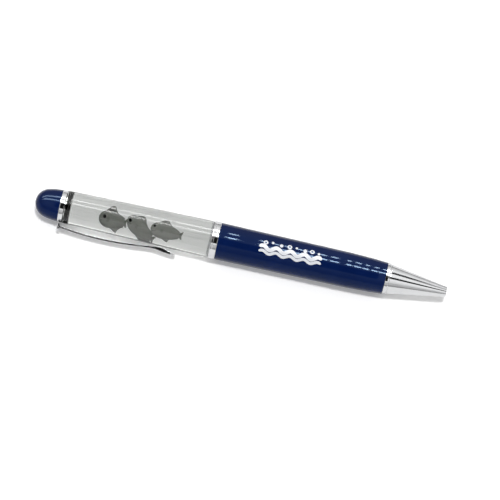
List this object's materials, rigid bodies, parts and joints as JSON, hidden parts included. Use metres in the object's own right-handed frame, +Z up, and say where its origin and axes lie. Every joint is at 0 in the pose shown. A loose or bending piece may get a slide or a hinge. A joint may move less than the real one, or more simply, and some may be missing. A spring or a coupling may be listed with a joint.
{
  "type": "floaty pen",
  "caption": "Twist ballpoint pen with a clear oil-filled tube where small sharks drift, a chrome clip, bands and nose, and a navy lower barrel that drives the refill.",
  "frame": {"origin": "on the ground under the middle of the lying pen, at the bottom centre of its bounding box", "axes": "+X along the pen towards the writing point, +Z up, -Y towards the side on which the clip meets the ground"},
  "size_m": [0.1404, 0.0146, 0.0127],
  "materials": {
    "navy_lacquer": "gloss",
    "chrome": "polished",
    "plated_plug": "polished",
    "seal_rubber": "satin",
    "clear_acrylic": "polished",
    "clear_oil": "polished",
    "shark_grey": "satin",
    "white_plastic": "satin",
    "steel": "satin",
    "brass": "satin",
    "ink": "gloss"
  },
  "bodies": {
    "upper_half": {"end_cap": "navy_lacquer", "clip_band": "chrome", "top_plug": "plated_plug", "top_seal": "seal_rubber", "window_tube": "clear_acrylic", "float_oil": "clear_oil", "bottom_plug": "white_plastic", "bottom_seal": "seal_rubber", "centre_band": "chrome", "twist_core": "steel", "friction_washer": "white_plastic", "retaining_ring": "steel"},
    "pocket_clip": {"clip": "chrome"},
    "lower_half": {"lower_barrel": "navy_lacquer", "cam_sleeve": "brass", "nose_cone": "chrome"},
    "refill": {"refill_carriage": "white_plastic", "drive_lug": "steel", "refill_tube": "brass", "ink_column": "ink", "refill_tip": "brass", "writing_ball": "steel"},
    "front_shark": {"shark_front": "shark_grey"},
    "middle_shark": {"shark_middle": "shark_grey"},
    "rear_shark": {"shark_rear": "shark_grey"}
  },
  "joints": [
    {"name": "twist", "type": "hinge", "parent": "upper_half", "child": "lower_half", "pos_m": [0, 0.00093, 0.00635], "axis": [1, 0, 0], "range_deg": [0, 180]},
    {"name": "refill_slide", "type": "slide", "parent": "upper_half", "child": "refill", "axis": [1, 0, 0], "range_m": [0, 0.00545]},
    {"name": "clip_lift", "type": "hinge", "parent": "upper_half", "child": "pocket_clip", "pos_m": [-0.0609, -0.00304, 0.00383], "axis": [0, 0.537, -0.8436], "range_deg": [0, 4.5], "stiffness_Nm_per_rad": 1.5},
    {"name": "front_drift", "type": "slide", "parent": "upper_half", "child": "front_shark", "axis": [1, 0, 0], "range_m": [-0.0091, 0.0271], "deforming": ["float_oil"]},
    {"name": "middle_drift", "type": "slide", "parent": "upper_half", "child": "middle_shark", "axis": [1, 0, 0], "range_m": [-0.0182, 0.0173], "deforming": ["float_oil"]},
    {"name": "rear_drift", "type": "slide", "parent": "upper_half", "child": "rear_shark", "axis": [1, 0, 0], "range_m": [-0.0265, 0.0079], "deforming": ["float_oil"]}
  ],
  "couplings": [
    {"joint": "refill_slide", "follows": "twist", "m_per_rad": 0.0017189}
  ]
}
